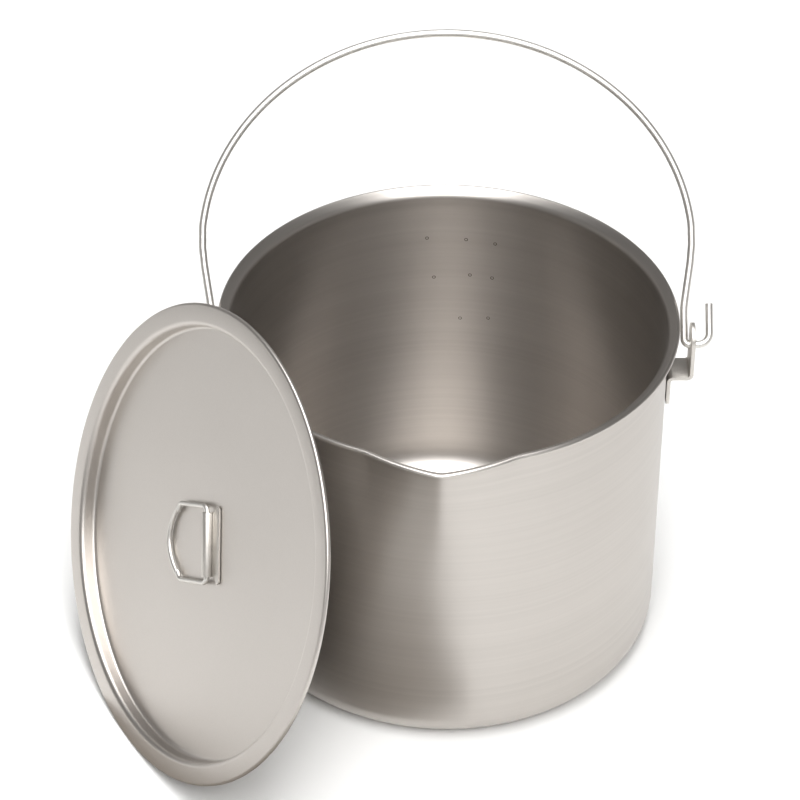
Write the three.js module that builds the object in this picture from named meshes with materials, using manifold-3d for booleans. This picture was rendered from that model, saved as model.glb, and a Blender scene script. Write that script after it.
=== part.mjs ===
// A deep camping pot with a pour spout, a wire bail, folding rear handles and a recessed lid.
// Millimetres, +Z up. The origin is the centre of the pot's flat base. The spout points to -Y,
// turned a few degrees towards -X as spoutBearing gives.
// The bail leans back to +Y, and the lid stands on the ground and leans on the pot's lip.
import * as THREE from 'three';
import { mergeVertices } from 'three/addons/utils/BufferGeometryUtils.js';
import Module from 'manifold-3d';

const wasm = await Module();
wasm.setup();

const degree = Math.PI / 180;

// Clearances
const restGap = 0.3; // between pieces that touch
const runningGap = 0.35; // round a wire that turns in its eye or barrel
const plugGap = 0.6; // between the lid's plug and the pot's wall, on each side
const sweepGap = 1.2; // between a swinging wire and what it passes
const weldTolerance = 1e-4; // distance within which two vertices are one

// Pot shell
const potRadius = 88; // outside of the wall
const potHeight = 150;
const potSheet = 0.8;
const potCorner = 12; // centreline radius of the bottom corner
const lipOverhang = 4.2; // from the wall's outside to the hem's outside
const lipLean = 55 * degree; // the flare's lean from upright
const flareRadius = 3;
const hemRadius = 1;
const potSegments = 72;
const hemSteps = 6;

// Pour spout
const spoutReach = 7.2; // outward push at the lip
const spoutHalfAngle = 19 * degree;
const spoutBearing = -3.4 * degree; // of the spout's tip from -Y
const spoutDepth = 62; // how far down the wall the crease fades
const spoutDip = 1.4;
const spoutDipDepth = 12;
const spoutLevels = [0.12, 0.45]; // rings of the wall, as shares of spoutDepth below the lip

// Bail ears
const earWidth = 13;
const earSheet = 1.5;
const earBend = 1.8;
const hingeDrop = 15; // from the lip's top down to the bail's axis
const shelfDrop = 12.5; // from the bail's axis down to the shelf
const earFoot = 13; // length of the plate on the wall
const eyeRise = 9.5; // from the bail's axis to the top of the eye
const eyeSides = 24;

// Bail wire
const bailWire = 1.5; // wire radius
const bailLean = 43 * degree;
const bailBulge = 3.9; // from a leg's centre out to the arch's widest place
const bailShoulder = 40; // from the axis up to the arch's widest place
const bailArch = 87; // from the shoulder up to the crown
const archSteps = 30;
const hookRise = 16.5;
const hookBend = 4.5;
const hookClear = 1.8; // from the ear to the hook's bend
const legBend = 2.4;
const wireSides = 8;
const bendStep = 31 * degree; // largest turn between two stations of a bend
const leastTurn = 1 * degree; // a corner that turns less stays sharp

// Lid plate
const lidOverhang = 2.8; // from the pot's lip out to the lid's edge
const lidSheet = 0.8;
const lidDepth = 6.5;
const lidCorner = 1.8;
const lidShoulder = 1.8;
const lidHem = 1.1;
const lidSegments = 60;
const lidTurn = -61.5 * degree; // heading of the leaning lid about +Z
const lidLean = 20.4 * degree; // from upright
const lidShift = 11; // along the ground, from the lip's contact to the lid's middle

// Lid ring and its strap
const ringWire = 1;
const ringHalfLength = 15.2; // from the middle to the centre of each straight side
const ringSide = 22.8; // from the bar to the outer corners
const ringBow = 30.2; // from the bar to the bowed side
const ringCorner = 3;
const ringTurn = 31 * degree; // of the bar about the lid's normal
const ringShift = 5.5; // from the lid's middle to the bar, towards the strap
const bowSteps = 8;
const strapSheet = 0.8;
const ringEndGap = 1.5; // from the barrel's end to the ring's side
const strapReach = 6.4; // from the bar to the strap's far edge
const strapFlare = 2.8; // from the barrel's end out to the end of the strap's far edge
const strapWrapStart = -50 * degree;
const strapWrapEnd = 230 * degree;
const strapWrapSteps = 11;
const barButt = 0.5; // between the wire's two ends inside a barrel

// Rear bracket and its folding handles
const bracketHeight = 46;
const bracketDrop = 21; // from the lip's top down to the bracket
const bracketSheet = 1.2;
const bracketWrap = 290 * degree; // how far a side curls round its wire
const bracketWrapSteps = 9;
const barrelSpacing = 32; // between the two hinge axes
const handleWire = 1.5;
const barrelEndGap = 0.8; // from a barrel's end to the wire's bend
const handleArc = 52 * degree; // of the wall that a folded arm follows
const handleBend = 5;
const handleWallGap = 1.4;
const armSteps = 9;

// Derived sizes
const wallCentre = potRadius - potSheet / 2;
const wallInside = potRadius - potSheet;
const lipRadius = potRadius + lipOverhang;
const lidRadius = lipRadius + lidOverhang;
const hemCentre = new THREE.Vector2(lipRadius - hemRadius, potHeight - hemRadius);
const hingeHeight = potHeight - hingeDrop;
const shelfHeight = hingeHeight - shelfDrop;
const legInside = lipRadius + sweepGap + bailWire; // leg's centre beside the lip
const bailHalfWidth = legInside + bailBulge;
const uprightCentre = legInside + legBend + earSheet / 2;
const hookCentre = uprightCentre + earSheet / 2 + hookClear + hookBend;
const bracketMiddle = potHeight - bracketDrop - bracketHeight / 2;
const barrelRadius = handleWire + runningGap + bracketSheet;
const handleAxisRadius = Math.hypot(barrelSpacing / 2, potRadius + restGap + barrelRadius);
const armRadius = potRadius + handleWallGap + handleWire;
const lidHemDrop = lidHem - lidSheet / 2; // puts the hem's top level with the flange
const barrelLength = 2 * (ringHalfLength - ringWire - ringEndGap);
const strapEdgeLength = barrelLength + 2 * strapFlare;
const armReach = bracketHeight / 2 + barrelEndGap + handleBend; // from the middle to each arm

const steel = (name, color, roughness) =>
  new THREE.MeshStandardMaterial({ name, color, roughness, metalness: 1 });

const potSteel = steel('satin_pot_steel', 0xb3aca4, 0.34);
const lidSteel = steel('satin_lid_steel', 0xc4bfb9, 0.4);
const wireSteel = steel('bright_wire_steel', 0xc9c6c2, 0.22);
const strapSteel = steel('bright_strap_steel', 0xbab6b1, 0.28);

// Points of a line through the given corners, each rounded to its own radius.
function roundCorners(corners) {
  const points = [corners[0].at];
  for (let i = 1; i < corners.length - 1; i += 1) {
    const { at, radius = 0 } = corners[i];
    const back = corners[i - 1].at.clone().sub(at).normalize();
    const ahead = corners[i + 1].at.clone().sub(at).normalize();
    const turn = Math.PI - back.angleTo(ahead);
    if (radius === 0 || turn < leastTurn) {
      points.push(at);
      continue;
    }
    const start = at.clone().addScaledVector(back, radius * Math.tan(turn / 2));
    const middle = back.clone().add(ahead).normalize();
    const centre = at.clone().addScaledVector(middle, radius / Math.cos(turn / 2));
    const axis = new THREE.Vector3().crossVectors(ahead, back).normalize();
    const steps = Math.max(2, Math.ceil(turn / bendStep));
    for (let k = 0; k <= steps; k += 1) {
      const spoke = start.clone().sub(centre).applyAxisAngle(axis, (turn * k) / steps);
      points.push(centre.clone().add(spoke));
    }
  }
  points.push(corners[corners.length - 1].at);
  return points;
}

const corner = (x, y, radius) => ({ at: new THREE.Vector3(x, y, 0), radius });

// Closed outline of a bent sheet: its right-hand side, a round hem if it has one, its left-hand side.
function sheetOutline(centreline, sheet, hem = 0) {
  const right = [];
  const left = [];
  centreline.forEach((point, i) => {
    const before = centreline[Math.max(i - 1, 0)];
    const after = centreline[Math.min(i + 1, centreline.length - 1)];
    const along = new THREE.Vector2(after.x - before.x, after.y - before.y).normalize();
    const side = new THREE.Vector2(along.y, -along.x).multiplyScalar(sheet / 2);
    right.push(new THREE.Vector2(point.x + side.x, point.y + side.y));
    left.unshift(new THREE.Vector2(point.x - side.x, point.y - side.y));
  });
  if (hem === 0) {
    return [...right, ...left];
  }
  const end = centreline[centreline.length - 1];
  const last = centreline[centreline.length - 2];
  const heading = Math.atan2(end.y - last.y, end.x - last.x);
  const meet = Math.asin(sheet / 2 / hem);
  const cap = [];
  for (let k = 0; k <= hemSteps; k += 1) {
    const angle = heading - (Math.PI - meet) + ((2 * Math.PI - 2 * meet) * k) / hemSteps;
    cap.push(new THREE.Vector2(end.x + hem * Math.cos(angle), end.y + hem * Math.sin(angle)));
  }
  return [...right.slice(0, -1), ...cap, ...left.slice(1)];
}

// Turns a closed outline about Z; one of its segment edges lies at the given bearing from -Y.
function turned(outline, segments, bearing = 0) {
  return new THREE.LatheGeometry(outline, segments).rotateX(Math.PI / 2).rotateZ(bearing);
}

// A line whose stations are the given points, whatever their spacing.
class StationPath extends THREE.Curve {
  constructor(points) {
    super();
    this.points = points;
  }

  getPoint(t, target = new THREE.Vector3()) {
    const place = Math.min(Math.max(t, 0), 1) * (this.points.length - 1);
    const i = Math.min(Math.floor(place), this.points.length - 2);
    return target.lerpVectors(this.points[i], this.points[i + 1], place - i);
  }

  getUtoTmapping(u) {
    return u;
  }
}

function wire(points, radius) {
  const section = new THREE.Shape().absarc(0, 0, radius, 0, 2 * Math.PI);
  const settings = { steps: points.length - 1, curveSegments: wireSides / 2, bevelEnabled: false };
  return new THREE.ExtrudeGeometry(section, { ...settings, extrudePath: new StationPath(points) });
}

function extruded(outline, depth) {
  const shape = new THREE.Shape(outline);
  return new THREE.ExtrudeGeometry(shape, { depth, bevelEnabled: false, curveSegments: eyeSides / 2 })
    .translate(0, 0, -depth / 2);
}

function toSolid(geometry) {
  const bare = geometry.clone();
  bare.deleteAttribute('normal');
  bare.deleteAttribute('uv');
  const merged = mergeVertices(bare, weldTolerance);
  const vertProperties = new Float32Array(merged.attributes.position.array);
  const triVerts = new Uint32Array(merged.index.array);
  return new wasm.Manifold(new wasm.Mesh({ numProp: 3, vertProperties, triVerts }));
}

function toGeometry(solid) {
  const mesh = solid.getMesh();
  const geometry = new THREE.BufferGeometry();
  geometry.setAttribute('position', new THREE.BufferAttribute(mesh.vertProperties, 3));
  geometry.setIndex(new THREE.BufferAttribute(mesh.triVerts, 1));
  geometry.computeVertexNormals();
  return geometry;
}

function named(name, geometry, material) {
  const mesh = new THREE.Mesh(geometry, material);
  mesh.name = name;
  return mesh;
}

// Height of the wall below which the flare begins.
function flareStart() {
  const arcReach = flareRadius * (1 - Math.cos(lipLean));
  const arcRise = flareRadius * Math.sin(lipLean);
  const straightReach = hemCentre.x - wallCentre - arcReach;
  return hemCentre.y - arcRise - straightReach / Math.tan(lipLean);
}

// The spout is a V pushed out of the round wall, widest at the lip and gone at its foot.
function pushSpout(geometry) {
  const position = geometry.attributes.position;
  for (let i = 0; i < position.count; i += 1) {
    const x = position.getX(i);
    const y = position.getY(i);
    const z = position.getZ(i);
    const angle = Math.atan2(x, -y);
    const radius = Math.hypot(x, y);
    const across = Math.max(0, 1 - Math.abs(angle - spoutBearing) / spoutHalfAngle);
    const rise = THREE.MathUtils.clamp((z - potHeight + spoutDepth) / spoutDepth, 0, 1);
    const dip = THREE.MathUtils.clamp((z - potHeight + spoutDipDepth) / spoutDipDepth, 0, 1);
    if (across === 0 || rise === 0 || radius < wallInside - potSheet) {
      continue;
    }
    const reach = radius + spoutReach * across * rise * rise;
    position.setXYZ(i, reach * Math.sin(angle), -reach * Math.cos(angle), z - spoutDip * across * dip);
  }
  return geometry;
}

function potBody() {
  const straight = flareStart();
  const wallLevels = spoutLevels.map((share) => corner(wallCentre, potHeight - spoutDepth * share));
  const foot = corner(wallCentre, potHeight - spoutDepth);
  const centreline = roundCorners([
    corner(0, potSheet / 2),
    corner(wallCentre, potSheet / 2, potCorner),
    foot,
    wallLevels[1],
    wallLevels[0],
    corner(wallCentre, straight + flareRadius * Math.tan(lipLean / 2), flareRadius),
    corner(hemCentre.x, hemCentre.y),
  ]);
  const shell = turned(sheetOutline(centreline, potSheet, hemRadius), potSegments, spoutBearing);
  return named('pot_body', pushSpout(shell), potSteel);
}

// A Z-shaped strap: foot on the wall, shelf outwards, upright plate with the bail's eye.
function bailEar(name, side) {
  const footCentre = potRadius + restGap + earSheet / 2;
  const centreline = roundCorners([
    corner(footCentre, shelfHeight - earFoot),
    corner(footCentre, shelfHeight, earBend),
    corner(uprightCentre, shelfHeight, earBend),
    corner(uprightCentre, hingeHeight + eyeRise),
  ]);
  const strap = toSolid(extruded(sheetOutline(centreline, earSheet), earWidth).rotateX(Math.PI / 2));
  const face = new THREE.Shape();
  const eyeCentre = hingeHeight + eyeRise - earWidth / 2;
  const below = shelfHeight - earFoot - earSheet;
  face.moveTo(-earWidth, below);
  face.lineTo(earWidth, below);
  face.lineTo(earWidth, shelfHeight + earSheet);
  face.lineTo(earWidth / 2, eyeCentre);
  face.absarc(0, eyeCentre, earWidth / 2, 0, Math.PI);
  face.lineTo(-earWidth, shelfHeight + earSheet);
  face.closePath();
  const eye = new THREE.Path().absarc(0, hingeHeight, bailWire + runningGap, 0, 2 * Math.PI);
  face.holes.push(eye);
  const reach = 2 * hookCentre;
  const settings = { depth: reach, bevelEnabled: false, curveSegments: eyeSides / 2 };
  const block = new THREE.ExtrudeGeometry(face, settings).rotateX(Math.PI / 2).rotateZ(Math.PI / 2);
  const outline = toSolid(block);
  const mesh = named(name, toGeometry(strap.intersect(outline)), strapSteel);
  mesh.rotation.z = side > 0 ? 0 : Math.PI;
  return mesh;
}

// One wire: hook, through the ear, up the leg, over the arch, and the same mirrored.
function bailWirePiece() {
  const arch = [];
  for (let k = 0; k <= archSteps; k += 1) {
    const angle = (Math.PI * k) / archSteps;
    arch.push(corner(bailHalfWidth * Math.cos(angle), bailShoulder + bailArch * Math.sin(angle)));
  }
  const end = (side) => [
    corner(side * hookCentre, hookRise),
    corner(side * hookCentre, 0, hookBend),
    corner(side * legInside, 0, legBend),
    corner(side * legInside, hingeDrop),
  ];
  const points = roundCorners([...end(1), ...arch, ...end(-1).reverse()]);
  const mesh = named('bail_wire', wire(points, bailWire).rotateX(Math.PI / 2), wireSteel);
  mesh.position.z = hingeHeight;
  mesh.rotation.x = -bailLean;
  return mesh;
}

// The lid's own frame has +Z out of its outer face, with the flange's centreline at z = 0.
function lidPlate() {
  const plugCentre = wallInside - plugGap - lidSheet / 2;
  const centreline = roundCorners([
    corner(0, -lidDepth),
    corner(plugCentre, -lidDepth, lidCorner),
    corner(plugCentre, 0, lidShoulder),
    corner(lidRadius - 2 * lidHem, 0),
    corner(lidRadius - lidHem, -lidHemDrop),
  ]);
  return named('lid_plate', turned(sheetOutline(centreline, lidSheet, lidHem), lidSegments), lidSteel);
}

const ringBarHeight = -lidDepth + lidSheet / 2 + restGap + strapSheet + runningGap + ringWire;

// A strap that lies on the disc and curls over the ring's bar. Its barrel is shorter than its edge.
function lidStrap() {
  const curl = ringWire + runningGap + strapSheet / 2;
  const foot = -lidDepth + lidSheet / 2 + restGap + strapSheet / 2;
  const wrap = [new THREE.Vector3(strapReach, foot, 0)];
  for (let k = 0; k <= strapWrapSteps; k += 1) {
    const angle = strapWrapStart + ((strapWrapEnd - strapWrapStart) * k) / strapWrapSteps;
    wrap.push(new THREE.Vector3(curl * Math.cos(angle), ringBarHeight + curl * Math.sin(angle), 0));
  }
  const rise = new THREE.Vector3(curl + strapSheet, foot, 0);
  wrap.splice(1, 0, rise);
  const strip = toSolid(extruded(sheetOutline(wrap, strapSheet), strapEdgeLength).rotateX(Math.PI / 2));
  const plan = new THREE.Shape();
  const neck = curl + strapSheet;
  plan.moveTo(-neck, -barrelLength / 2);
  plan.lineTo(neck, -barrelLength / 2);
  plan.lineTo(strapReach - strapSheet, -strapEdgeLength / 2);
  plan.lineTo(strapReach + strapSheet, -strapEdgeLength / 2);
  plan.lineTo(strapReach + strapSheet, strapEdgeLength / 2);
  plan.lineTo(strapReach - strapSheet, strapEdgeLength / 2);
  plan.lineTo(neck, barrelLength / 2);
  plan.lineTo(-neck, barrelLength / 2);
  plan.closePath();
  const cutHeight = 4 * lidDepth;
  const block = new THREE.ExtrudeGeometry(plan, { depth: cutHeight, bevelEnabled: false });
  const cutter = toSolid(block.translate(0, 0, -cutHeight / 2));
  return named('lid_strap', toGeometry(strip.intersect(cutter)), strapSteel);
}

// A D of wire whose ends meet inside the barrel. It folds flat towards -X.
function lidRing() {
  const bow = [];
  for (let k = 0; k <= bowSteps; k += 1) {
    const share = (2 * k) / bowSteps - 1;
    const out = ringSide + (ringBow - ringSide) * (1 - share * share);
    bow.push(corner(-out, share * (ringHalfLength - ringCorner / 2)));
  }
  const points = roundCorners([
    corner(0, -barButt / 2),
    corner(0, -ringHalfLength, ringCorner),
    corner(-ringSide, -ringHalfLength, ringCorner),
    ...bow,
    corner(-ringSide, ringHalfLength, ringCorner),
    corner(0, ringHalfLength, ringCorner),
    corner(0, barButt / 2),
  ]);
  const mesh = named('lid_ring', wire(points, ringWire), wireSteel);
  mesh.position.z = ringBarHeight;
  mesh.rotation.y = -Math.asin((strapSheet + runningGap) / ringBow);
  return mesh;
}

// Stands the lid on its hem and leans the back of its plug on the pot's lip.
function leaningLid() {
  const hinge = new THREE.Group();
  hinge.add(lidStrap(), lidRing());
  hinge.rotation.z = ringTurn;
  hinge.translateX(ringShift);
  const tilted = new THREE.Group();
  tilted.add(lidPlate(), hinge);
  tilted.rotation.x = Math.PI / 2 - lidLean;
  const standing = new THREE.Group();
  standing.add(tilted);
  standing.rotation.z = lidTurn;
  const rise = (lidRadius - lidHem) * Math.cos(lidLean) + lidHemDrop * Math.sin(lidLean) + lidHem;
  const lipSupport = Math.cos(lidLean) * hemCentre.x + Math.sin(lidLean) * hemCentre.y + hemRadius;
  const plugBack = lidDepth + lidSheet / 2 + restGap;
  const away = (lipSupport + plugBack - Math.sin(lidLean) * rise) / Math.cos(lidLean);
  const heading = new THREE.Vector3(0, 0, 1);
  const place = new THREE.Vector3(lidShift, -away, rise).applyAxisAngle(heading, lidTurn);
  standing.position.copy(place);
  return standing;
}

// A plate on the back wall whose two sides curl into barrels for the handles' wires.
function rearBracket() {
  const curl = handleWire + runningGap + bracketSheet / 2;
  const plateDepth = potRadius + restGap + bracketSheet / 2;
  const axisDepth = potRadius + restGap + barrelRadius;
  const half = barrelSpacing / 2;
  const right = [];
  for (let k = 0; k <= bracketWrapSteps; k += 1) {
    const angle = -Math.PI / 2 + (bracketWrap * k) / bracketWrapSteps;
    right.push(new THREE.Vector3(half + curl * Math.cos(angle), axisDepth + curl * Math.sin(angle), 0));
  }
  const left = right.map((point) => new THREE.Vector3(-point.x, point.y, 0)).reverse();
  const middle = new THREE.Vector3(0, plateDepth, 0);
  const outline = sheetOutline([...left, middle, ...right], bracketSheet);
  const mesh = named('rear_bracket', extruded(outline, bracketHeight), strapSteel);
  mesh.position.z = bracketMiddle;
  return mesh;
}

// A loop of wire that turns in one barrel and follows the wall when folded.
function rearHandle(name, side) {
  const axisDepth = potRadius + restGap + barrelRadius;
  const half = barrelSpacing / 2;
  const start = Math.atan2(half + handleBend + handleWire, axisDepth);
  const arm = (height) => {
    const points = [];
    for (let k = 0; k <= armSteps; k += 1) {
      const angle = start + (handleArc * k) / armSteps;
      const ease = Math.min(1, (2 * k) / armSteps);
      const radius = THREE.MathUtils.lerp(handleAxisRadius, armRadius, ease);
      points.push({
        at: new THREE.Vector3(radius * Math.sin(angle) - half, radius * Math.cos(angle) - axisDepth, height),
      });
    }
    return points;
  };
  const lower = arm(-armReach);
  const upper = arm(armReach).reverse();
  const grip = lower[lower.length - 1].at;
  const station = (at, height, radius) => ({ at: new THREE.Vector3(at.x, at.y, height), radius });
  const axis = new THREE.Vector3(0, 0, 0);
  const points = roundCorners([
    station(axis, -barButt / 2),
    station(axis, -armReach, handleBend),
    ...lower.slice(1, -1),
    station(grip, -armReach, handleBend),
    station(grip, armReach, handleBend),
    ...upper.slice(1, -1),
    station(axis, armReach, handleBend),
    station(axis, barButt / 2),
  ]);
  const mirrored = points.map((point) => new THREE.Vector3(side * point.x, point.y, point.z));
  const mesh = named(name, wire(mirrored, handleWire), wireSteel);
  mesh.position.set(side * half, axisDepth, bracketMiddle);
  return mesh;
}

const group = new THREE.Group();
group.add(potBody());
group.add(bailEar('bail_ear_left', -1));
group.add(bailEar('bail_ear_right', 1));
group.add(bailWirePiece());
group.add(leaningLid());
group.add(rearBracket());
group.add(rearHandle('rear_handle_left', -1));
group.add(rearHandle('rear_handle_right', 1));

export default group;
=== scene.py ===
import math

import bmesh
import bpy
from mathutils import Matrix, Vector


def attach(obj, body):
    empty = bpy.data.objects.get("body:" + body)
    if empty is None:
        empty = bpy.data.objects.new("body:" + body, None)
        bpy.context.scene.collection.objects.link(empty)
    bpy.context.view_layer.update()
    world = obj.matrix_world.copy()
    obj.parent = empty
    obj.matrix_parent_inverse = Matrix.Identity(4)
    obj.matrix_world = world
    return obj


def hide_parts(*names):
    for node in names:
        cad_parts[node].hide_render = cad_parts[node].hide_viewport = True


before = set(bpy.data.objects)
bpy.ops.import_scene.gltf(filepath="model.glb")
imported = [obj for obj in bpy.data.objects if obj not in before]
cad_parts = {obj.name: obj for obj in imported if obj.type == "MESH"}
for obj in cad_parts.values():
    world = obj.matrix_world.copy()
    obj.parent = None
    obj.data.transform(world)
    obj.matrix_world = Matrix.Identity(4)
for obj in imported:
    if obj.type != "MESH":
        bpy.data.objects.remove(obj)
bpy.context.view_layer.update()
print("frame loaded")

mm = 0.001


# small tools that every piece uses

def linearColour(hexColour):
    shares = [int(hexColour[i:i + 2], 16) / 255 for i in (0, 2, 4)]
    return [s / 12.92 if s <= 0.04045 else ((s + 0.055) / 1.055) ** 2.4 for s in shares] + [1.0]


def addNode(tree, kind, settings=None, links=None):
    node = tree.nodes.new(kind)
    for key, value in (settings or {}).items():
        if isinstance(key, str) and hasattr(node, key):
            setattr(node, key, value)
        else:
            node.inputs[key].default_value = value
    for key, socket in (links or {}).items():
        tree.links.new(socket, node.inputs[key])
    return node


def clearSelection():
    if bpy.context.object and bpy.context.object.mode != "OBJECT":
        bpy.ops.object.mode_set(mode="OBJECT")
    bpy.ops.object.select_all(action="DESELECT")


def selectOnly(piece):
    clearSelection()
    piece.select_set(True)
    bpy.context.view_layer.objects.active = piece


def applyModifier(piece, kind, **settings):
    selectOnly(piece)
    modifier = piece.modifiers.new(kind.title(), kind)
    for key, value in settings.items():
        setattr(modifier, key, value)
    bpy.ops.object.modifier_apply(modifier=modifier.name)


def settle(piece, placing=Matrix.Identity(4)):
    # puts the piece in its place and leaves its object at the origin
    piece.matrix_world = placing @ piece.matrix_world
    bpy.context.view_layer.update()
    selectOnly(piece)
    bpy.ops.object.transform_apply(location=True, rotation=True, scale=True)


def roundCorners(corners, stepAngle=math.radians(8)):
    # corners are (point, radius), in millimetres
    points = [Vector(corners[0][0])]
    for (before, _), (at, radius), (after, _) in zip(corners, corners[1:], corners[2:]):
        at = Vector(at)
        back = (Vector(before) - at).normalized()
        ahead = (Vector(after) - at).normalized()
        turn = math.pi - back.angle(ahead)
        if radius == 0 or turn < math.radians(0.5):
            points.append(at)
            continue
        start = at + back * radius * math.tan(turn / 2)
        centre = at + (back + ahead).normalized() * radius / math.cos(turn / 2)
        axis = ahead.cross(back).normalized()
        steps = max(2, math.ceil(turn / stepAngle))
        for k in range(steps + 1):
            points.append(centre + Matrix.Rotation(turn * k / steps, 3, axis) @ (start - centre))
    points.append(Vector(corners[-1][0]))
    return points


def arcPoints(centre, radius, first, last, steps):
    angles = [math.radians(first + (last - first) * k / steps) for k in range(steps + 1)]
    return [Vector((centre[0] + radius * math.cos(a), 0, centre[1] + radius * math.sin(a))) for a in angles]


def drawLine(name, points):
    # a plane merged to one point, then extruded from point to point
    clearSelection()
    bpy.ops.mesh.primitive_plane_add(size=mm, location=points[0] * mm)
    piece = bpy.context.object
    piece.name = name
    bpy.ops.object.mode_set(mode="EDIT")
    bpy.ops.mesh.select_all(action="SELECT")
    bpy.ops.mesh.merge(type="CENTER")
    for here, there in zip(points, points[1:]):
        bpy.ops.mesh.extrude_vertices_move(TRANSFORM_OT_translate={"value": (there - here) * mm})
    bpy.ops.mesh.select_all(action="SELECT")
    return piece


def closeUp(piece):
    bpy.ops.object.mode_set(mode="EDIT")
    bpy.ops.mesh.select_all(action="SELECT")
    bpy.ops.mesh.remove_doubles(threshold=0.002 * mm)
    bpy.ops.mesh.normals_make_consistent(inside=False)
    bpy.ops.object.mode_set(mode="OBJECT")
    return piece


def spinSheet(name, profile, steps):
    piece = drawLine(name, profile)
    bpy.ops.mesh.spin(steps=steps, angle=2 * math.pi, center=(0, 0, 0), axis=(0, 0, 1))
    closeUp(piece)
    settle(piece)
    return piece


def foldStrap(name, line, width, sheet):
    # a line in the XZ plane drawn out along Y to a strip, then given its thickness
    piece = drawLine(name, [point - Vector((0, width / 2, 0)) for point in line])
    bpy.ops.mesh.extrude_region_move(TRANSFORM_OT_translate={"value": (0, width * mm, 0)})
    bpy.ops.object.mode_set(mode="OBJECT")
    settle(piece)
    applyModifier(piece, "SOLIDIFY", thickness=sheet * mm, offset=0, use_even_offset=True)
    return closeUp(piece)


def bendWire(name, points, radius):
    clearSelection()
    bpy.ops.curve.primitive_nurbs_path_add(location=(0, 0, 0))
    piece = bpy.context.object
    piece.name = name
    curve = piece.data
    curve.splines.clear()
    spline = curve.splines.new("POLY")
    spline.points.add(len(points) - 1)
    for station, point in zip(spline.points, points):
        station.co = (*(point * mm), 1)
    curve.dimensions = "3D"
    curve.bevel_depth = radius * mm
    curve.bevel_resolution = 6
    curve.use_fill_caps = True
    selectOnly(piece)
    bpy.ops.object.convert(target="MESH")
    piece = bpy.context.object
    closeUp(piece)
    applyModifier(piece, "BEVEL", width=0.3 * radius * mm, segments=3, limit_method="ANGLE",
                  angle_limit=math.radians(60))
    return piece


def cutAway(piece, cutter, operation="DIFFERENCE"):
    applyModifier(piece, "BOOLEAN", object=cutter, operation=operation, solver="EXACT")
    bpy.data.objects.remove(cutter)


def softenEdges(piece, width):
    applyModifier(piece, "BEVEL", width=width * mm, segments=2, limit_method="ANGLE",
                  angle_limit=math.radians(50))


def finishPiece(piece, body, material, slot, *nodes):
    piece.data.materials.clear()
    piece.data.materials.append(material)
    selectOnly(piece)
    bpy.ops.object.shade_smooth_by_angle(angle=math.radians(32))
    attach(piece, body)
    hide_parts(*nodes)
    print("finished", piece.name, len(piece.data.polygons), "faces")


grainShape = {
    "turn": 0.0003,  # metres of pattern for each radian round the axis, so that a line runs on round the wall
    "radial": 0.15,  # how much a point's distance from the axis counts
    "straight": 0.03,  # how much the way along a straight grain counts
}


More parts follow.
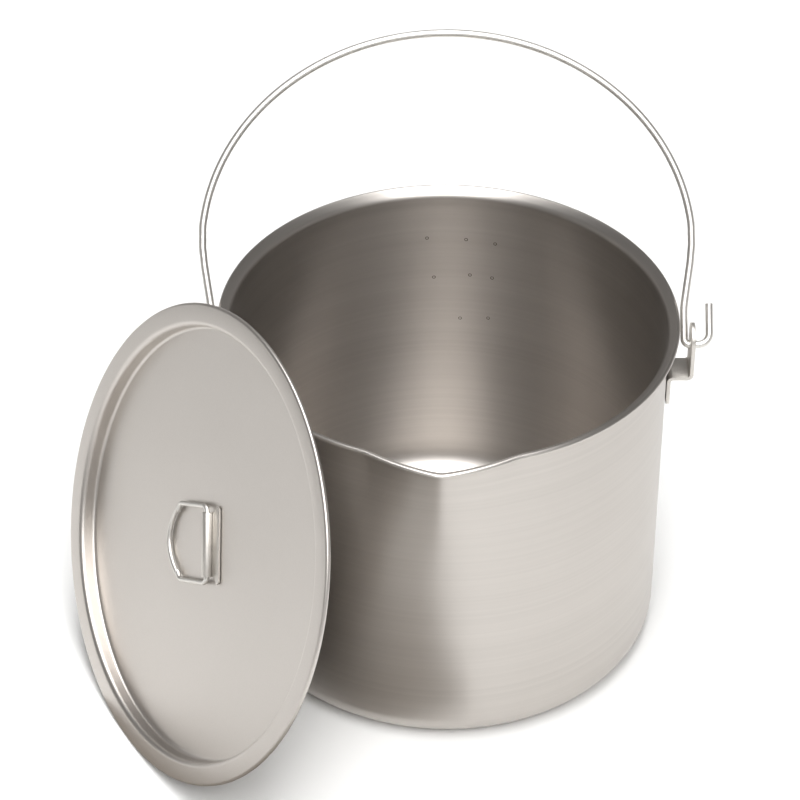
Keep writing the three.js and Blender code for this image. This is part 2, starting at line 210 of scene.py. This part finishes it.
def steelMaterial(name, look):
    # look: hex colour, roughness, and the grain's spacing and depth in millimetres
    material = bpy.data.materials.new(name)
    material.use_nodes = True
    tree = material.node_tree
    tree.nodes.clear()
    output = addNode(tree, "ShaderNodeOutputMaterial")
    shader = addNode(tree, "ShaderNodeBsdfPrincipled", {
        "Metallic": 1.0, "Anisotropic": look["anisotropy"], "Anisotropic Rotation": look["grainTurn"]})
    place = addNode(tree, "ShaderNodeTexCoord").outputs["Object"]
    if look["grain"] == "round":
        # polishing lines that run round the axis: the pattern only depends on height and on distance
        apart = addNode(tree, "ShaderNodeSeparateXYZ", links={0: place})
        flat = addNode(tree, "ShaderNodeVectorMath", {"operation": "MULTIPLY", 1: (1, 1, 0)}, {0: place})
        reach = addNode(tree, "ShaderNodeVectorMath", {"operation": "LENGTH"}, {0: flat.outputs[0]})
        bearing = addNode(tree, "ShaderNodeMath", {"operation": "ARCTAN2"},
                          {0: apart.outputs[1], 1: apart.outputs[0]})
        drawn = addNode(tree, "ShaderNodeMath", {"operation": "MULTIPLY", 1: grainShape["turn"]},
                        {0: bearing.outputs[0]})
        # the spout bends the wall, so its reach counts for little and the lines run on across it
        pressed = addNode(tree, "ShaderNodeMath", {"operation": "MULTIPLY", 1: grainShape["radial"]},
                          {0: reach.outputs["Value"]})
        lines = addNode(tree, "ShaderNodeCombineXYZ", links={0: pressed.outputs[0], 1: drawn.outputs[0],
                                                             2: apart.outputs[2]}).outputs[0]
    elif look["grain"] == "straight":
        stretch = {"operation": "MULTIPLY", 1: (1, grainShape["straight"], 1)}
        lines = addNode(tree, "ShaderNodeVectorMath", stretch, {0: place}).outputs[0]
    else:
        lines = place
    fine = addNode(tree, "ShaderNodeTexNoise", {"Scale": 1 / (look["spacing"] * mm), "Detail": 1.0,
                                                "Roughness": 0.6}, {"Vector": lines})
    broad = addNode(tree, "ShaderNodeTexNoise", {"Scale": 1 / (look["cloud"] * mm), "Detail": 4.0,
                                                 "Roughness": 0.55}, {"Vector": lines})
    smudge = addNode(tree, "ShaderNodeTexNoise", {"Scale": 1 / (look["smudge"] * mm), "Detail": 3.0},
                     {"Vector": place})
    # colour: the steel's own hue, a touch darker in the valleys of the grain and in handled places
    tone = addNode(tree, "ShaderNodeMixRGB", {"blend_type": "MIX", 1: linearColour(look["dark"]),
                                              2: linearColour(look["light"])}, {0: broad.outputs[0]})
    grained = addNode(tree, "ShaderNodeMapRange", {"From Min": 0.3, "From Max": 0.7,
                                                   "To Min": 1 - look["grainTone"], "To Max": 1.0},
                      {"Value": fine.outputs[0]})
    shaded = addNode(tree, "ShaderNodeVectorMath", {"operation": "SCALE"},
                     {0: tone.outputs[0], "Scale": grained.outputs[0]})
    tree.links.new(shaded.outputs[0], shader.inputs["Base Color"])
    # roughness: satin, a little glossier along the crests and duller where it was handled
    worn = addNode(tree, "ShaderNodeMath", {"operation": "ADD"}, {0: broad.outputs[0], 1: smudge.outputs[0]})
    rough = addNode(tree, "ShaderNodeMapRange", {"From Min": 0.7, "From Max": 1.3,
                                                 "To Min": look["roughness"][0],
                                                 "To Max": look["roughness"][1]}, {"Value": worn.outputs[0]})
    tree.links.new(rough.outputs[0], shader.inputs["Roughness"])
    bump = addNode(tree, "ShaderNodeBump", {"Strength": look["bumpStrength"], "Distance": look["depth"] * mm},
                   {"Height": fine.outputs[0]})
    tree.links.new(bump.outputs[0], shader.inputs["Normal"])
    if look["anisotropy"] > 0:
        tangent = addNode(tree, "ShaderNodeTangent", {"direction_type": "RADIAL", "axis": "Z"})
        tree.links.new(tangent.outputs[0], shader.inputs["Tangent"])
    tree.links.new(shader.outputs[0], output.inputs["Surface"])
    return material


# drawn 18/10 stainless, satin polished on a lathe: lines round the wall stretch every reflection upright.
# The real lines are about 0.1 mm apart, too fine to show, so they are drawn 1.6 mm apart
potSteel = steelMaterial("satin_drawn_stainless", {
    "light": "C8C3BE", "dark": "C1BCB7", "roughness": (0.35, 0.39), "anisotropy": 0.68, "grainTurn": 0.25,
    "grain": "round", "spacing": 1.6, "cloud": 7, "smudge": 45, "grainTone": 0.05, "depth": 0.002,
    "bumpStrength": 0.05})
# pressed lid, fine bead-blasted satin: even and matt, with hardly any direction
lidSteel = steelMaterial("matt_pressed_stainless", {
    "light": "CBC6C1", "dark": "C8C3BE", "roughness": (0.39, 0.41), "anisotropy": 0.0, "grainTurn": 0.0,
    "grain": "even", "spacing": 0.6, "cloud": 25, "smudge": 60, "grainTone": 0.03, "depth": 0.015,
    "bumpStrength": 0.2})
# stamped strip, tumbled: softer and a little brighter than the wall
strapSteel = steelMaterial("tumbled_strip_stainless", {
    "light": "DAD7D2", "dark": "C8C3BD", "roughness": (0.42, 0.52), "anisotropy": 0.0, "grainTurn": 0.0,
    "grain": "straight", "spacing": 0.35, "cloud": 5, "smudge": 15, "grainTone": 0.06, "depth": 0.02,
    "bumpStrength": 0.2})
# drawn stainless wire, tumbled after bending: pale and soft, with no sharp reflections
wireSteel = steelMaterial("tumbled_drawn_wire", {
    "light": "E2E0DC", "dark": "D4D1CC", "roughness": (0.42, 0.5), "anisotropy": 0.0, "grainTurn": 0.0,
    "grain": "even", "spacing": 0.8, "cloud": 12, "smudge": 20, "grainTone": 0.04, "depth": 0.01,
    "bumpStrength": 0.15})
# heat-tinted nuggets of the spot welds
weldSteel = steelMaterial("spot_weld_nugget", {
    "light": "8A8178", "dark": "5E564E", "roughness": (0.35, 0.5), "anisotropy": 0.0, "grainTurn": 0.0,
    "grain": "even", "spacing": 0.4, "cloud": 1.2, "smudge": 4, "grainTone": 0.2, "depth": 0.03,
    "bumpStrength": 0.4})
print("steels ready")

pot = {
    "radius": 88, "height": 150, "sheet": 0.8, "corner": 12,
    "lipRadius": 92.2, "lipLean": 55, "flare": 3, "hem": 1.0, "hemTurn": 250,
    "spoutReach": 7.2, "spoutHalfAngle": 19, "spoutDepth": 62, "spoutDip": 1.4, "spoutDipDepth": 12,
    "spoutBearing": -3.4,  # of the tip, in degrees from the front
    "spoutEdge": 0.9,  # softness of the crease, in degrees
    "spoutFade": 0.12,  # share of the half angle over which the spout's sides ease into the wall
    "baseRing": 40, "wallRing": 45,  # rings that even out the base and the lower wall
    "spoutRings": (1, 0.85, 0.7, 0.58, 0.47, 0.38, 0.3, 0.22, 0.15),  # as shares of the spout's depth
    "hemSteps": 16, "steps": 360,
}


def smoothRamp(value, width):
    # nought below, straight above, rounded for width on each side of the turn
    if value <= -width:
        return 0.0
    return value if value >= width else (value + width) ** 2 / (4 * width)


def pushSpout(piece):
    halfAngle = math.radians(pot["spoutHalfAngle"])
    edge = math.radians(pot["spoutEdge"])
    for vertex in piece.data.vertices:
        x, y, z = vertex.co / mm
        radius = math.hypot(x, y)
        angle = math.atan2(x, -y)
        aside = angle - math.radians(pot["spoutBearing"])
        across = smoothRamp(1 - math.hypot(aside, edge) / halfAngle, pot["spoutFade"])
        rise = min(max((z - pot["height"] + pot["spoutDepth"]) / pot["spoutDepth"], 0), 1)
        dip = min(max((z - pot["height"] + pot["spoutDipDepth"]) / pot["spoutDipDepth"], 0), 1)
        if across and rise and radius > pot["radius"] - 3 * pot["sheet"]:
            radius += pot["spoutReach"] * across * rise * rise
            vertex.co = Vector((radius * math.sin(angle), -radius * math.cos(angle),
                                z - pot["spoutDip"] * across * dip)) * mm


def makePot():
    wall = pot["radius"] - pot["sheet"] / 2
    curl = pot["hem"] - pot["sheet"] / 2
    lean = math.radians(pot["lipLean"])
    hemX = pot["lipRadius"] - pot["hem"]
    hemZ = pot["height"] - pot["hem"]
    meetX = hemX - curl * math.cos(lean)
    meetZ = hemZ + curl * math.sin(lean)
    flareZ = meetZ - (meetX - wall) / math.tan(lean)
    levels = [pot["height"] - share * pot["spoutDepth"] for share in pot["spoutRings"]]
    profile = roundCorners(
        [((0, 0, pot["sheet"] / 2), 0), ((pot["baseRing"], 0, pot["sheet"] / 2), 0),
         ((wall, 0, pot["sheet"] / 2), pot["corner"]), ((wall, 0, pot["wallRing"]), 0)]
        + [((wall, 0, level), 0) for level in levels]
        + [((wall, 0, flareZ), pot["flare"]), ((meetX, 0, meetZ), 0)])
    first = 180 - pot["lipLean"]
    profile += arcPoints((hemX, hemZ), curl, first, first - pot["hemTurn"], pot["hemSteps"])[1:]
    piece = spinSheet("potBody", profile, pot["steps"])
    pushSpout(piece)
    applyModifier(piece, "SOLIDIFY", thickness=pot["sheet"] * mm, offset=0, use_even_offset=True)
    closeUp(piece)
    finishPiece(piece, "pot", potSteel, "pot_steel", "pot_body")


makePot()

# spot welds, seen from inside the pot

welds = {
    "radius": 0.8, "thickness": 0.1, "seat": 87.2, "steps": 28,
    "edge": 0.03, "rim": (0.12, -0.03), "dimple": (0.2, -0.02),  # inset and depth
    # bearing from +Y towards +X in degrees, and height
    "rear": [(-4.2, 125.8), (6.7, 125.2), (14.9, 124.5), (-2.1, 105.2), (8, 106.8), (14.3, 106.5), (5.5, 83.5),
             (13.5, 84.9)],
    "sides": [(-90, 119), (-90, 113), (90, 119), (90, 113)],
}


def makeWelds():
    marks = []
    for bearing, height in welds["rear"] + welds["sides"]:
        clearSelection()
        bpy.ops.mesh.primitive_cylinder_add(vertices=welds["steps"], radius=welds["radius"] * mm,
                                            depth=welds["thickness"] * mm)
        mark = bpy.context.object
        bpy.ops.object.mode_set(mode="EDIT")
        mesh = bmesh.from_edit_mesh(mark.data)
        for face in mesh.faces:
            face.select_set(face.normal.z > 0.9)
        bmesh.update_edit_mesh(mark.data)
        bpy.ops.mesh.bevel(offset=welds["edge"] * mm, segments=2)
        bpy.ops.object.mode_set(mode="EDIT")
        mesh = bmesh.from_edit_mesh(mark.data)
        for face in mesh.faces:
            face.select_set(face.normal.z > 0.9 and len(face.verts) > 8)
        bmesh.update_edit_mesh(mark.data)
        for inset, depth in (welds["rim"], welds["dimple"]):
            bpy.ops.mesh.inset(thickness=inset * mm, depth=depth * mm)
        bpy.ops.object.mode_set(mode="OBJECT")
        turn = math.radians(bearing)
        inward = Matrix.Rotation(math.radians(90), 4, "X")
        seat = Matrix.Translation((0, welds["seat"] * mm, height * mm))
        settle(mark, Matrix.Rotation(-turn, 4, "Z") @ seat @ inward)
        marks.append(mark)
    clearSelection()
    for mark in marks:
        mark.select_set(True)
    bpy.context.view_layer.objects.active = marks[0]
    bpy.ops.object.join()
    piece = bpy.context.object
    piece.name = "potWeldMarks"
    finishPiece(piece, "pot", weldSteel, "pot_steel")


makeWelds()

ear = {
    "width": 13, "sheet": 1.5, "bend": 1.8, "hinge": 135, "shelf": 122.5, "foot": 13, "eyeRise": 9.5,
    "eye": 1.85, "upright": 98.05, "standOff": 0.3, "edge": 0.25, "headSteps": 96, "eyeSteps": 64,
    "spare": (1, 2),  # height and width of the strip beyond its outline, before it is cut
    "cutLength": 60, "cutMiddle": 100, "punchLength": 20,  # the outline's block and the eye's punch
    "cutDrop": 112,  # how far the outline runs down past the foot
}
bail = {
    "wire": 1.5, "lean": 43, "halfWidth": 98.8, "shoulder": 40, "arch": 87, "hookRise": 16.5, "hookBend": 4.5,
    "hookX": 105.1, "legX": 94.9, "legBend": 2.4, "legTop": 15, "legCurve": 25, "archSteps": 120,
    "shoulderBend": 70, "blend": 4,  # steps of the arch that the shoulder's bend takes up
}


def makeEar(name, side, node):
    foot = pot["radius"] + ear["standOff"] + ear["sheet"] / 2
    line = roundCorners([((foot, 0, ear["shelf"] - ear["foot"]), 0), ((foot, 0, ear["shelf"]), ear["bend"]),
                         ((ear["upright"], 0, ear["shelf"]), ear["bend"]),
                         ((ear["upright"], 0, ear["hinge"] + ear["eyeRise"] + ear["spare"][0]), 0)])
    piece = foldStrap(name, line, ear["width"] + ear["spare"][1], ear["sheet"])
    clearSelection()
    radius = ear["width"] / 2
    eyeTop = ear["hinge"] + ear["eyeRise"] - radius
    bpy.ops.mesh.primitive_cylinder_add(vertices=ear["headSteps"], radius=radius * mm,
                                        depth=ear["cutLength"] * mm,
                                        location=(ear["cutMiddle"] * mm, 0, eyeTop * mm),
                                        rotation=(0, math.radians(90), 0))
    outline = bpy.context.object
    settle(outline)
    bpy.ops.object.mode_set(mode="EDIT")
    mesh = bmesh.from_edit_mesh(outline.data)
    for vertex in mesh.verts:
        vertex.select_set(vertex.co.z < (eyeTop - 0.01) * mm)
    mesh.select_flush_mode()
    bmesh.update_edit_mesh(outline.data)
    bpy.ops.transform.translate(value=(0, 0, -(eyeTop - ear["cutDrop"]) * mm))
    bpy.ops.object.mode_set(mode="OBJECT")
    cutAway(piece, outline, "INTERSECT")
    clearSelection()
    bpy.ops.mesh.primitive_cylinder_add(vertices=ear["eyeSteps"], radius=ear["eye"] * mm,
                                        depth=ear["punchLength"] * mm,
                                        location=(ear["upright"] * mm, 0, ear["hinge"] * mm),
                                        rotation=(0, math.radians(90), 0))
    hole = bpy.context.object
    settle(hole)
    cutAway(piece, hole)
    softenEdges(piece, ear["edge"])
    settle(piece, Matrix.Rotation(0 if side > 0 else math.pi, 4, "Z"))
    finishPiece(piece, "pot", strapSteel, "strap_steel", node)


makeEar("earRight", 1, "bail_ear_right")
makeEar("earLeft", -1, "bail_ear_left")


def makeBail():
    def halfEnd(side):
        hook, leg = side * bail["hookX"], side * bail["legX"]
        return [((hook, 0, bail["hookRise"]), 0), ((hook, 0, 0), bail["hookBend"]),
                ((leg, 0, 0), bail["legBend"]), ((leg, 0, bail["legTop"]), bail["legCurve"])]
    arch = []
    for k in [0, *range(bail["blend"], bail["archSteps"] - bail["blend"] + 1), bail["archSteps"]]:
        angle = math.pi * k / bail["archSteps"]
        radius = bail["shoulderBend"] if k in (0, bail["archSteps"]) else 0
        rise = bail["shoulder"] + bail["arch"] * math.sin(angle)
        arch.append(((bail["halfWidth"] * math.cos(angle), 0, rise), radius))
    points = roundCorners(halfEnd(1) + arch + halfEnd(-1)[::-1])
    piece = bendWire("bailWire", points, bail["wire"])
    lean = Matrix.Rotation(math.radians(-bail["lean"]), 4, "X")
    settle(piece, Matrix.Translation((0, 0, ear["hinge"] * mm)) @ lean)
    finishPiece(piece, "bail", wireSteel, "wire_steel", "bail_wire")


makeBail()

lid = {
    "radius": 95, "sheet": 0.8, "depth": 6.5, "corner": 1.8, "shoulder": 1.8, "hem": 1.1, "hemTurn": 200,
    "plugGap": 0.6, "turn": -61.5, "lean": 20.4, "shift": 11, "restGap": 0.3, "steps": 288,
    "discRing": 45, "hemSteps": 12,
}
ring = {
    "wire": 1.0, "halfLength": 15.2, "side": 22.8, "bow": 30.2, "corner": 3, "turn": 31, "clear": 0.35,
    "sheet": 0.8, "barrel": 25.4, "reach": 6.4, "shift": 5.5, "edge": 31, "butt": 0.5, "bowSteps": 28,
    "wrap": (-58, 236), "wrapSteps": 40, "wrapLead": 0.6,  # the strap's curl round the bar, in degrees
    "cornerCut": 1.2, "spare": 4, "planFoot": -12, "planHeight": 20, "softness": 0.14, "bendStep": 10,
}


def lidPlacing():
    lean = math.radians(lid["lean"])
    turn = math.radians(lid["turn"])
    hemDrop = lid["hem"] - lid["sheet"] / 2
    rise = (lid["radius"] - lid["hem"]) * math.cos(lean) + hemDrop * math.sin(lean) + lid["hem"]
    lipX = pot["lipRadius"] - pot["hem"]
    lipZ = pot["height"] - pot["hem"]
    support = math.cos(lean) * lipX + math.sin(lean) * lipZ + pot["hem"]
    away = (support + lid["depth"] + lid["sheet"] / 2 + lid["restGap"] - math.sin(lean) * rise) / math.cos(lean)
    return (Matrix.Rotation(turn, 4, "Z") @ Matrix.Translation(Vector((lid["shift"], -away, rise)) * mm)
            @ Matrix.Rotation(math.radians(90) - lean, 4, "X"))


lidPlace = lidPlacing()


def makeLid():
    plug = pot["radius"] - pot["sheet"] - lid["plugGap"] - lid["sheet"] / 2
    curl = lid["hem"] - lid["sheet"] / 2
    profile = roundCorners([((0, 0, -lid["depth"]), 0), ((lid["discRing"], 0, -lid["depth"]), 0),
                            ((plug, 0, -lid["depth"]), lid["corner"]), ((plug, 0, 0), lid["shoulder"]),
                            ((lid["radius"] - lid["hem"], 0, 0), 0)])
    hem = (lid["radius"] - lid["hem"], -curl)
    profile += arcPoints(hem, curl, 90, 90 - lid["hemTurn"], lid["hemSteps"])[1:]
    piece = spinSheet("lidPlate", profile, lid["steps"])
    applyModifier(piece, "SOLIDIFY", thickness=lid["sheet"] * mm, offset=0, use_even_offset=True)
    closeUp(piece)
    settle(piece, lidPlace)
    finishPiece(piece, "lid", lidSteel, "lid_steel", "lid_plate")


makeLid()

barHeight = -lid["depth"] + lid["sheet"] / 2 + lid["restGap"] + ring["sheet"] + ring["clear"] + ring["wire"]
ringPlace = (lidPlace @ Matrix.Rotation(math.radians(ring["turn"]), 4, "Z")
             @ Matrix.Translation((ring["shift"] * mm, 0, 0)))


def makeStrap():
    curl = ring["wire"] + ring["clear"] + ring["sheet"] / 2
    foot = -lid["depth"] + lid["sheet"] / 2 + lid["restGap"] + ring["sheet"] / 2
    line = [Vector((ring["reach"], 0, foot)), Vector((curl + ring["sheet"] + ring["wrapLead"], 0, foot))]
    line += arcPoints((0, barHeight), curl, *ring["wrap"], ring["wrapSteps"])
    piece = foldStrap("lidStrap", line, ring["edge"] + ring["spare"], ring["sheet"])
    # the plan: a short barrel that widens to a longer edge
    half = ring["barrel"] / 2
    wide = ring["edge"] / 2
    neck = curl + ring["sheet"]
    reach, cut = ring["reach"], ring["cornerCut"]
    corners = [(-neck, -half), (neck, -half), (reach - cut, -wide), (reach, -wide + cut),
               (reach, wide - cut), (reach - cut, wide), (neck, half), (-neck, half)]
    plan = drawLine("plan", [Vector((*corner, ring["planFoot"])) for corner in corners])
    bpy.ops.mesh.edge_face_add()
    bpy.ops.mesh.extrude_region_move(TRANSFORM_OT_translate={"value": (0, 0, ring["planHeight"] * mm)})
    bpy.ops.mesh.select_all(action="SELECT")
    bpy.ops.mesh.normals_make_consistent(inside=False)
    bpy.ops.object.mode_set(mode="OBJECT")
    settle(plan)
    cutAway(piece, plan, "INTERSECT")
    softenEdges(piece, ring["softness"])
    settle(piece, ringPlace)
    finishPiece(piece, "lid", strapSteel, "strap_steel", "lid_strap")


def makeRing():
    bow = []
    for k in range(ring["bowSteps"] + 1):
        share = 2 * k / ring["bowSteps"] - 1
        out = ring["side"] + (ring["bow"] - ring["side"]) * (1 - share * share)
        bow.append(((-out, share * (ring["halfLength"] - ring["corner"] / 2), 0), 0))
    half = ring["halfLength"]
    points = roundCorners([((0, -ring["butt"] / 2, 0), 0), ((0, -half, 0), ring["corner"]),
                           ((-ring["side"], -half, 0), ring["corner"])] + bow
                          + [((-ring["side"], half, 0), ring["corner"]), ((0, half, 0), ring["corner"]),
                             ((0, ring["butt"] / 2, 0), 0)], math.radians(ring["bendStep"]))
    piece = bendWire("lidRing", points, ring["wire"])
    drop = math.asin((ring["sheet"] + ring["clear"]) / ring["bow"])
    settle(piece, ringPlace @ Matrix.Translation((0, 0, barHeight * mm)) @ Matrix.Rotation(-drop, 4, "Y"))
    finishPiece(piece, "ring", wireSteel, "wire_steel", "lid_ring")


makeStrap()
makeRing()

rear = {
    "height": 46, "middle": 106, "sheet": 1.2, "spacing": 32, "wire": 1.5, "clear": 0.35, "standOff": 0.3,
    "wrap": 290, "arc": 52, "bend": 5, "wallGap": 1.4, "endGap": 0.8, "butt": 0.5, "armSteps": 36, "edge": 0.2,
    "wrapSteps": 32, "armEnds": (2, 3),  # steps of the arm that the bends at its two ends take up
}


def makeBracket():
    curl = rear["wire"] + rear["clear"] + rear["sheet"] / 2
    plate = pot["radius"] + rear["standOff"] + rear["sheet"] / 2
    depth = plate + curl
    half = rear["spacing"] / 2
    right = []
    for k in range(rear["wrapSteps"] + 1):
        angle = math.radians(-90 + rear["wrap"] * k / rear["wrapSteps"])
        right.append(Vector((half + curl * math.cos(angle), 0, depth + curl * math.sin(angle))))
    left = [Vector((-point.x, 0, point.z)) for point in right][::-1]
    piece = foldStrap("rearBracket", left + right, rear["height"], rear["sheet"])
    softenEdges(piece, rear["edge"])
    settle(piece, Matrix.Translation((0, 0, rear["middle"] * mm)) @ Matrix.Rotation(math.radians(-90), 4, "X"))
    finishPiece(piece, "pot", strapSteel, "strap_steel", "rear_bracket")


def makeHandle(name, side, body, node):
    depth = pot["radius"] + rear["standOff"] + rear["sheet"] + rear["clear"] + rear["wire"]
    half = rear["spacing"] / 2
    reach = rear["height"] / 2 + rear["endGap"] + rear["bend"]
    start = math.atan2(half + rear["bend"] + rear["wire"], depth)
    arm = []
    for k in range(rear["armSteps"] + 1):
        angle = start + math.radians(rear["arc"]) * k / rear["armSteps"]
        share = min(1, 2 * k / rear["armSteps"])
        ease = share * share * (3 - 2 * share)
        radius = math.hypot(half, depth) * (1 - ease) + (pot["radius"] + rear["wallGap"] + rear["wire"]) * ease
        arm.append((radius * math.sin(angle) - half, radius * math.cos(angle) - depth))
    grip = arm[-1]
    bend = rear["bend"]
    middle = arm[rear["armEnds"][0]:-rear["armEnds"][1]]
    corners = [((0, 0, -rear["butt"] / 2), 0), ((0, 0, -reach), bend)]
    corners += [((x, y, -reach), 0) for x, y in middle]
    corners += [((*grip, -reach), bend), ((*grip, reach), bend)]
    corners += [((x, y, reach), 0) for x, y in middle[::-1]]
    corners += [((0, 0, reach), bend), ((0, 0, rear["butt"] / 2), 0)]
    points = [Vector((side * point.x, point.y, point.z)) for point in roundCorners(corners)]
    piece = bendWire(name, points, rear["wire"])
    settle(piece, Matrix.Translation(Vector((side * half, depth, rear["middle"])) * mm))
    finishPiece(piece, body, wireSteel, "wire_steel", node)


makeBracket()
makeHandle("rearHandleLeft", -1, "left_handle", "rear_handle_left")
makeHandle("rearHandleRight", 1, "right_handle", "rear_handle_right")

studio = {
    "floorColour": "FBFBFA", "floorSize": 6.0, "sky": 0.95,
    "skyLow": (0.35, 0.34, 0.33, 1), "skyHigh": (0.12, 0.12, 0.12, 1), "skyTurn": 0.8,
    "panels": (  # name, watts, size and place in metres
        ("frontPanel", 25, (1.4, 1.0), (0.12, -1.5, 1.75)),
        ("widePanel", 12, (3.4, 1.2), (0.3, -1.9, 2.3)),
        ("topPanel", 33, (0.75, 1.8), (0.0, -0.1, 1.9)),
    ),
    # the grey card is painted shade, seen only in the reflections of the pot's left wall
    "cardSize": 0.17, "cardPlace": (-0.095, -0.155, 0.0005), "cardTurn": -24, "shadeCardColour": "8C867F",
    "camera": (-42.2, -1068.1, 953.3), "yaw": 0.021, "pitch": 0.670, "roll": 0.008, "lens": 150.9,
    "shift": (0.002, 0.001),
}


def makeStudio():
    clearSelection()
    bpy.ops.mesh.primitive_plane_add(size=studio["floorSize"], location=(0, 0, 0))
    floor = bpy.context.object
    floor.name = "studioFloor"
    paper = bpy.data.materials.new("white_paper")
    paper.use_nodes = True
    shader = paper.node_tree.nodes["Principled BSDF"]
    shader.inputs["Base Color"].default_value = linearColour(studio["floorColour"])
    shader.inputs["Roughness"].default_value = 0.9
    shader.inputs["Specular IOR Level"].default_value = 0.1
    floor.data.materials.append(paper)

    world = bpy.data.worlds.new("softRoom")
    bpy.context.scene.world = world
    world.use_nodes = True
    tree = world.node_tree
    tree.nodes.clear()
    place = addNode(tree, "ShaderNodeTexCoord").outputs["Generated"]
    apart = addNode(tree, "ShaderNodeSeparateXYZ", links={0: place})
    ramp = addNode(tree, "ShaderNodeValToRGB", links={0: apart.outputs[2]})
    ramp.color_ramp.elements[0].position = 0.0
    ramp.color_ramp.elements[0].color = studio["skyLow"]
    ramp.color_ramp.elements[1].position = studio["skyTurn"]
    ramp.color_ramp.elements[1].color = studio["skyHigh"]
    glow = addNode(tree, "ShaderNodeBackground", {"Strength": studio["sky"]}, {"Color": ramp.outputs[0]})
    addNode(tree, "ShaderNodeOutputWorld", links={"Surface": glow.outputs[0]})

    def addPanel(name, energy, size, location):
        clearSelection()
        bpy.ops.object.light_add(type="AREA", location=location)
        panel = bpy.context.object
        panel.name = name
        panel.data.shape = "RECTANGLE"
        panel.data.size, panel.data.size_y = size
        panel.data.energy = energy
        panel.rotation_euler = (-Vector(location)).to_track_quat("-Z", "Y").to_euler()

    for panel in studio["panels"]:
        addPanel(*panel)

    # a grey card on the floor before the pot's left front, which only reflections see: painted shade, standing
    # for the shaded floor between lid and pot that darkens the left wall's reflection
    clearSelection()
    bpy.ops.mesh.primitive_plane_add(size=studio["cardSize"], location=studio["cardPlace"],
                                     rotation=(0, 0, math.radians(studio["cardTurn"])))
    card = bpy.context.object
    card.name = "paintedShadeCard"
    shadeCardMaterial = bpy.data.materials.new("painted_shade_card")
    shadeCardMaterial.use_nodes = True
    shader = shadeCardMaterial.node_tree.nodes["Principled BSDF"]
    # the card's grey is painted shade in the pot's reflection
    shader.inputs["Base Color"].default_value = linearColour(studio["shadeCardColour"])
    shader.inputs["Roughness"].default_value = 1.0
    card.data.materials.append(shadeCardMaterial)
    card.visible_camera = False
    card.visible_shadow = False
    card.visible_diffuse = False

    camera = bpy.data.objects.new("camera", bpy.data.cameras.new("camera"))
    bpy.context.scene.collection.objects.link(camera)
    camera.data.lens = studio["lens"]
    camera.data.sensor_width = 36
    camera.data.clip_end = 20
    camera.data.shift_x, camera.data.shift_y = studio["shift"]
    yaw, pitch, roll = studio["yaw"], studio["pitch"], studio["roll"]
    ahead = Vector((math.sin(yaw) * math.cos(pitch), math.cos(yaw) * math.cos(pitch), -math.sin(pitch)))
    level = Vector((math.cos(yaw), -math.sin(yaw), 0))
    upright = level.cross(ahead)
    right = math.cos(roll) * level + math.sin(roll) * upright
    up = -math.sin(roll) * level + math.cos(roll) * upright
    turn = Matrix((right, up, -ahead)).transposed().to_4x4()
    camera.matrix_world = Matrix.Translation(Vector(studio["camera"]) * mm) @ turn
    bpy.context.scene.camera = camera
    bpy.context.scene.view_settings.view_transform = "Standard"


makeStudio()
print("studio ready")
